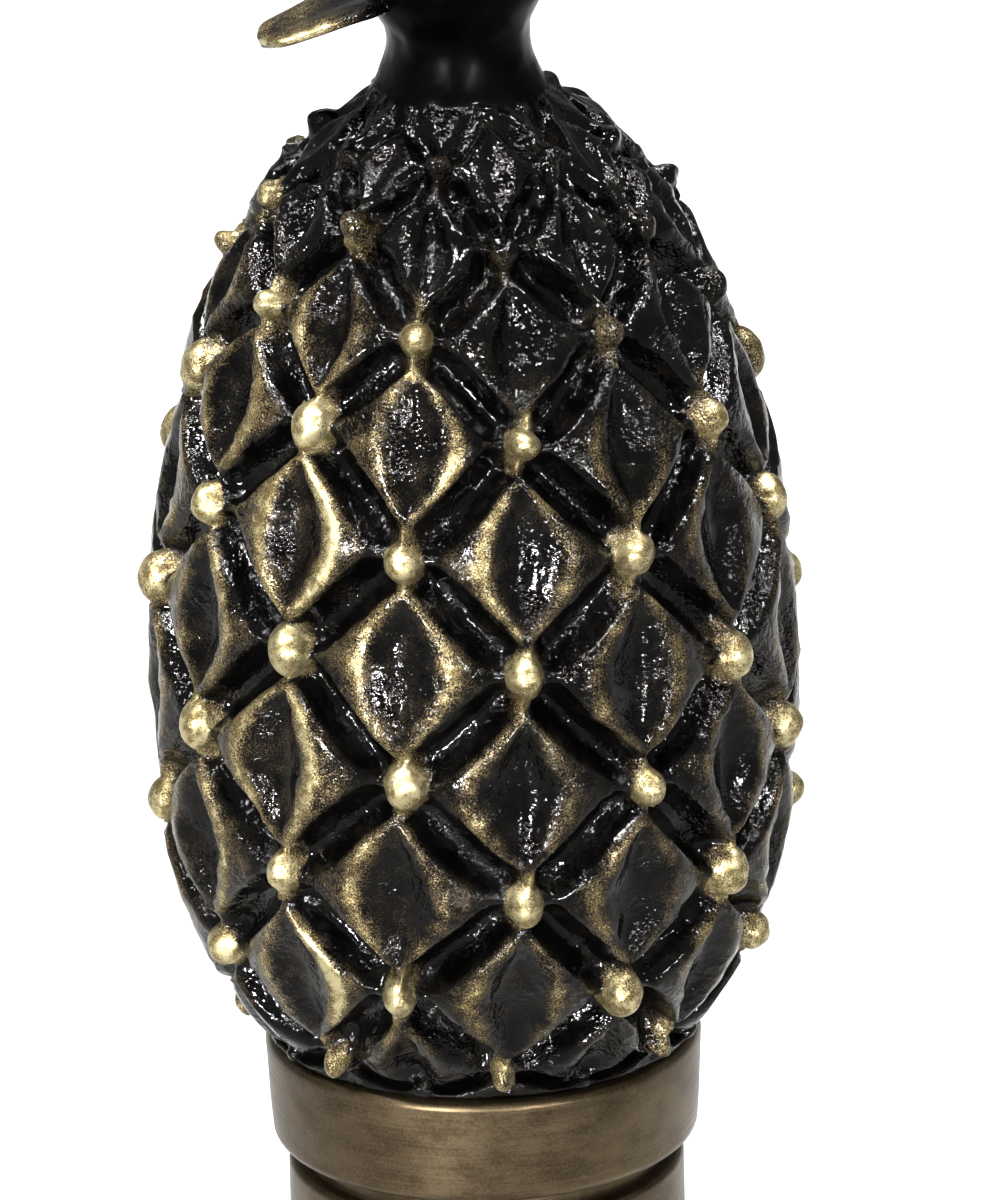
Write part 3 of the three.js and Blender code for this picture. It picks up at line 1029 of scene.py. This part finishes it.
# %% Rubbed black lacquer over brass
LACQUER = (0.0004, 0.0004, 0.0004)
CHARCOAL = (0.0013, 0.0012, 0.0012)
BROWN_FILM = (0.036, 0.026, 0.013)
OLD_BRASS = (0.2, 0.15, 0.06)
PALE_BRASS = (0.62, 0.54, 0.31)
GRAIN_MM = 0.11
PATCH_MM = 1.8
BLOT_MM = 0.7
CLUSTER_MM = 2.6
PIT_MM, PIT_DEPTH_MM = 0.2, 0.09
WAVE_MM, WAVE_DEPTH_MM = 0.65, 0.22
SPECKLE = 3.2
WANDER = 1.9
BLOTS = 3.0
RUB_OF_GRAIN, GRAIN_SHARES = (0.0, 0.35), (0.25, 1.0)
WEAR_OF_FILM = (0.05, 0.5)
WEAR_OF_METAL = (0.45, 1.05)
WEAR_OF_PALE = (0.6, 1.7)
CHARCOAL_PATCHES = (-0.15, 0.15)
CLUSTER_EDGES, CLUSTER_SHARES = (0.4, 0.62), (0.2, 1.0)
ALL_OF_METAL, METAL_RELIEF = (0.0, 1.0), (1.0, 0.45)
WEAR_OF_GLOSS, GLOSS_TO_SATIN = (0.0, 0.9), (0.08, 0.44)
NECK_RUB = (-0.25, -0.05)
NECK_SATIN = (0.3, 0.0)
NECK_TO_EGG_SHINE = (0.04, 0.22)
NECK_TO_EGG_RELIEF = (0.12, 1.0)


def rubbed_lacquer():
    """Black lacquer, brown film and brass, mixed by how much each point is worn."""
    material, tree, shader = new_finish("rubbed_lacquer")
    # The rub number carries a painted highlight as well as wear: it is raised on the front-left side.
    rub = add_node(tree, "ShaderNodeAttribute", attribute_name="rub").outputs["Fac"]
    patches = centred_grain(tree, PATCH_MM, detail=4.0)
    speckle = calculate(tree, "MULTIPLY", centred_grain(tree, GRAIN_MM, roughness=0.65), SPECKLE)
    wander = calculate(tree, "MULTIPLY", patches, WANDER)
    uneven = calculate(tree, "ADD", speckle, wander)
    uneven = calculate(tree, "MULTIPLY", uneven, remap(tree, rub, RUB_OF_GRAIN, GRAIN_SHARES))
    worn = calculate(tree, "ADD", rub, uneven)
    metal = remap(tree, worn, WEAR_OF_METAL)
    film = remap(tree, worn, WEAR_OF_FILM)
    black = mix_colour(tree, remap(tree, patches, CHARCOAL_PATCHES), LACQUER, CHARCOAL)
    bright = calculate(tree, "ADD", worn, calculate(tree, "MULTIPLY", centred_grain(tree, BLOT_MM), BLOTS))
    brass = mix_colour(tree, remap(tree, bright, WEAR_OF_PALE), OLD_BRASS, PALE_BRASS)
    colour = mix_colour(tree, metal, mix_colour(tree, film, black, BROWN_FILM), brass)
    satin = remap(tree, rub, NECK_RUB, NECK_SATIN)
    gloss = calculate(tree, "MAXIMUM", satin, remap(tree, worn, WEAR_OF_GLOSS, GLOSS_TO_SATIN))
    tree.links.new(colour, shader.inputs["Base Color"])
    tree.links.new(metal, shader.inputs["Metallic"])
    tree.links.new(gloss, shader.inputs["Roughness"])
    tree.links.new(remap(tree, rub, NECK_RUB, NECK_TO_EGG_SHINE), shader.inputs["Specular IOR Level"])
    clusters = remap(tree, grain(tree, CLUSTER_MM, detail=2.0), CLUSTER_EDGES, CLUSTER_SHARES)
    rough = calculate(tree, "MULTIPLY", clusters, remap(tree, metal, ALL_OF_METAL, METAL_RELIEF))
    rough = calculate(tree, "MULTIPLY", rough, remap(tree, rub, NECK_RUB, NECK_TO_EGG_RELIEF))
    pits = bump(tree, grain(tree, PIT_MM, detail=1.0), rough, PIT_DEPTH_MM)
    waves = bump(tree, grain(tree, WAVE_MM, detail=1.0), rough, WAVE_DEPTH_MM, under=pits)
    tree.links.new(waves, shader.inputs["Normal"])
    return material


print("lacquer pits", PIT_MM, "mm across")

# %% Brushed brass
BRUSHED_DARK = (0.05, 0.034, 0.018)
BRUSHED_LIGHT = (0.13, 0.098, 0.058)
STROKES_ROUND = 0.9
STROKES_UP = 9000
STROKE_SCALE = 1.4
STROKE_EDGES = (0.3, 0.7)
STROKE_BUMP, STROKE_DEPTH_MM = 0.15, 0.02
CLOUD_MM, CLOUD_STRETCH = 2.4, (0.5, 0.5, 1)
SPECK_MM = 0.18
STROKE_SHARE, CLOUD_SHARE, SPECK_SHARE = 0.25, 0.5, 0.25
DARK_TO_LIGHT = (0.35, 0.65)
BRUSHED_ROUGHNESS = (0.3, 0.46)


def brushed_brass():
    """Satin brass with fine strokes round the turning, clouded and specked."""
    material, tree, shader = new_finish("brushed_brass")
    place = add_node(tree, "ShaderNodeTexCoord")
    split = add_node(tree, "ShaderNodeSeparateXYZ")
    tree.links.new(place.outputs["Object"], split.inputs[0])
    angle = calculate(tree, "ARCTAN2", split.outputs[0], split.outputs[1])
    line = add_node(tree, "ShaderNodeCombineXYZ")
    tree.links.new(calculate(tree, "MULTIPLY", angle, STROKES_ROUND), line.inputs[0])
    tree.links.new(calculate(tree, "MULTIPLY", split.outputs[2], STROKES_UP), line.inputs[2])
    strokes = add_node(tree, "ShaderNodeTexNoise")
    strokes.inputs["Scale"].default_value = STROKE_SCALE
    strokes.inputs["Detail"].default_value = 4.0
    tree.links.new(line.outputs[0], strokes.inputs["Vector"])
    stroke = strokes.outputs["Fac"]
    cloud = grain(tree, CLOUD_MM, detail=4.0, stretch=CLOUD_STRETCH)
    cloud = calculate(tree, "MULTIPLY", cloud, CLOUD_SHARE)
    speck = calculate(tree, "MULTIPLY", grain(tree, SPECK_MM, detail=2.0), SPECK_SHARE)
    soft = calculate(tree, "ADD", cloud, speck)
    blend = calculate(tree, "ADD", calculate(tree, "MULTIPLY", stroke, STROKE_SHARE), soft)
    colour = mix_colour(tree, remap(tree, blend, DARK_TO_LIGHT), BRUSHED_DARK, BRUSHED_LIGHT)
    tree.links.new(colour, shader.inputs["Base Color"])
    shader.inputs["Metallic"].default_value = 1.0
    tree.links.new(remap(tree, stroke, STROKE_EDGES, BRUSHED_ROUGHNESS), shader.inputs["Roughness"])
    tree.links.new(bump(tree, stroke, STROKE_BUMP, STROKE_DEPTH_MM), shader.inputs["Normal"])
    return material


print("brushed brass ready")

# %% Put the finishes on
def dress(obj, material, node):
    """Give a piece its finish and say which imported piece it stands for."""
    obj.data.materials.clear()
    obj.data.materials.append(material)
    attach(obj, "root")
    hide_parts(node)
    print(obj.name, "stands for", node)


collar_finish = brushed_brass()
dress(pineapple, rubbed_lacquer(), "pineapple")
dress(collar, collar_finish, "collar")
dress(sleeve, collar_finish, "sleeve")

# %% [markdown]
# ## The studio
#
# The finial stands on a plain pale floor. Glossy black shows nothing but what it reflects, so
# small hooded lamps light the egg, high at the left, at the right and above, with dark between
# them: each stud, ridge and pit answers with a small bright point. Two low lamps light hardly
# more than the collar. A broad panel whitens the floor behind, and a low even glow fills in.
# The studio is large, so its sizes are in metres; only the heights aimed at are in millimetres.

# %% Floor, lamps and glow
FLOOR_HALF = 3.0
FLOOR_TINTS = (0.86, 0.86, 0.85), (0.9, 0.9, 0.89)
FLOOR_TINT_MM = 400.0
FLOOR_ROUGHNESS = 0.8
LAMP_DISTANCE = 0.6
UPPER_AIM_RISE, COLLAR_AIM_DROP = 6, 3
PANEL_WIDTH, PANEL_DEPTH = 1.4, 0.6
PANEL_HEIGHT = 0.5
PANEL_PLACE = (0, 0.36, 0)
PANEL_SPREAD = math.radians(70)
PANEL_POWER = 5
GLOW = 0.3


def make_floor():
    mesh = bpy.data.meshes.new("floor")
    corners = [(-1, -1), (1, -1), (1, 1), (-1, 1)]
    mesh.from_pydata([(x * FLOOR_HALF, y * FLOOR_HALF, 0) for x, y in corners], [], [(0, 1, 2, 3)])
    floor = bpy.data.objects.new("floor", mesh)
    bpy.context.scene.collection.objects.link(floor)
    material, tree, shader = new_finish("pale_floor")
    tint = mix_colour(tree, grain(tree, FLOOR_TINT_MM), *FLOOR_TINTS)
    tree.links.new(tint, shader.inputs["Base Color"])
    shader.inputs["Roughness"].default_value = FLOOR_ROUGHNESS
    mesh.materials.append(material)


def place_light(data, azimuth, elevation, distance, target):
    """Put a light where its direction from the target says, aimed back at the target."""
    light = bpy.data.objects.new(data.name, data)
    bpy.context.scene.collection.objects.link(light)
    a, e = math.radians(azimuth), math.radians(elevation)
    away = Vector((math.sin(a) * math.cos(e), -math.cos(a) * math.cos(e), math.sin(e)))
    light.location = Vector(target) + away * distance
    light.rotation_euler = away.to_track_quat("Z", "Y").to_euler()


def add_lamp(name, azimuth, elevation, radius, power, cone, height):
    """A small lamp whose hood leaves a cone of light, aimed at a height on the axis."""
    data = bpy.data.lights.new(name, "SPOT")
    data.energy = power
    data.shadow_soft_size = radius
    data.spot_size = math.radians(cone)
    data.spot_blend = 1.0
    place_light(data, azimuth, elevation, LAMP_DISTANCE, (0, 0, height * MM))


def add_floor_panel():
    """A broad panel over the floor behind the finial, which makes it white there."""
    data = bpy.data.lights.new("floor_panel", "AREA")
    data.shape = "RECTANGLE"
    data.size = PANEL_WIDTH
    data.size_y = PANEL_DEPTH
    data.spread = PANEL_SPREAD
    data.energy = PANEL_POWER
    place_light(data, 0, 90, PANEL_HEIGHT, PANEL_PLACE)


bpy.context.scene.view_settings.view_transform = "Standard"
make_floor()
upper_aim = egg_middle + UPPER_AIM_RISE
collar_aim = (collar_bottom + collar_top) / 2 - COLLAR_AIM_DROP
add_lamp("left_lamp", azimuth=-50, elevation=55, radius=0.03, power=22, cone=8, height=upper_aim)
add_lamp("right_lamp", azimuth=45, elevation=62, radius=0.03, power=18, cone=8, height=upper_aim)
add_lamp("top_lamp", azimuth=-10, elevation=74, radius=0.03, power=30, cone=6.5, height=egg_middle)
add_lamp("collar_left", azimuth=-22, elevation=2, radius=0.07, power=540, cone=4.5, height=collar_aim)
add_lamp("collar_right", azimuth=26, elevation=2, radius=0.09, power=260, cone=4.5, height=collar_aim)
add_floor_panel()
world = bpy.data.worlds.new("glow")
bpy.context.scene.world = world
world.use_nodes = True
background = world.node_tree.nodes["Background"]
background.inputs["Color"].default_value = (1, 1, 1, 1)
background.inputs["Strength"].default_value = GLOW
print("studio ready")

# %% [markdown]
# ## The camera
#
# The photo was taken from a little above, with a long lens, close enough to cut off the crown
# and the sleeve. The camera sits on the same line of sight and turns with the slight lean of
# the photo. Its distance and lens come from where the studs stand in the photo: nearer studs
# look larger, and how much larger gives the distance.

# %% Set up the camera
PHOTO_HEIGHT = 1200
PHOTO_CENTRE = (500, 600)
PHOTO_SCALE = 14.8
TARGET_IN_PHOTO = (471.8, 572)
CAMERA_DISTANCE = 690
CAMERA_ELEVATION = math.radians(19.4)
PHOTO_LEAN = math.radians(1.4)
SENSOR = 36.0
NEAREST_SEEN = 0.01
TARGET_ROW = 5

target = Vector((0, 0, float(row_height(np.array(TARGET_ROW)))))
back = Vector((0, -math.cos(CAMERA_ELEVATION), math.sin(CAMERA_ELEVATION)))
level_right = Vector((1, 0, 0))
level_up = back.cross(level_right)
right = level_right * math.cos(PHOTO_LEAN) - level_up * math.sin(PHOTO_LEAN)
up = level_up * math.cos(PHOTO_LEAN) + level_right * math.sin(PHOTO_LEAN)
aim = target + right * ((PHOTO_CENTRE[0] - TARGET_IN_PHOTO[0]) / PHOTO_SCALE)
aim -= up * ((PHOTO_CENTRE[1] - TARGET_IN_PHOTO[1]) / PHOTO_SCALE)
position = aim + back * CAMERA_DISTANCE

lens = bpy.data.cameras.new("camera")
lens.sensor_fit = "VERTICAL"
lens.sensor_height = SENSOR
lens.lens = PHOTO_SCALE * CAMERA_DISTANCE * SENSOR / PHOTO_HEIGHT
lens.clip_start = NEAREST_SEEN
camera = bpy.data.objects.new("camera", lens)
bpy.context.scene.collection.objects.link(camera)
axes = Matrix((right, up, back)).transposed().to_4x4()
camera.matrix_world = Matrix.Translation(position * MM) @ axes
bpy.context.scene.camera = camera
print("camera", round(CAMERA_DISTANCE), "mm away, lens", round(lens.lens, 1), "mm")
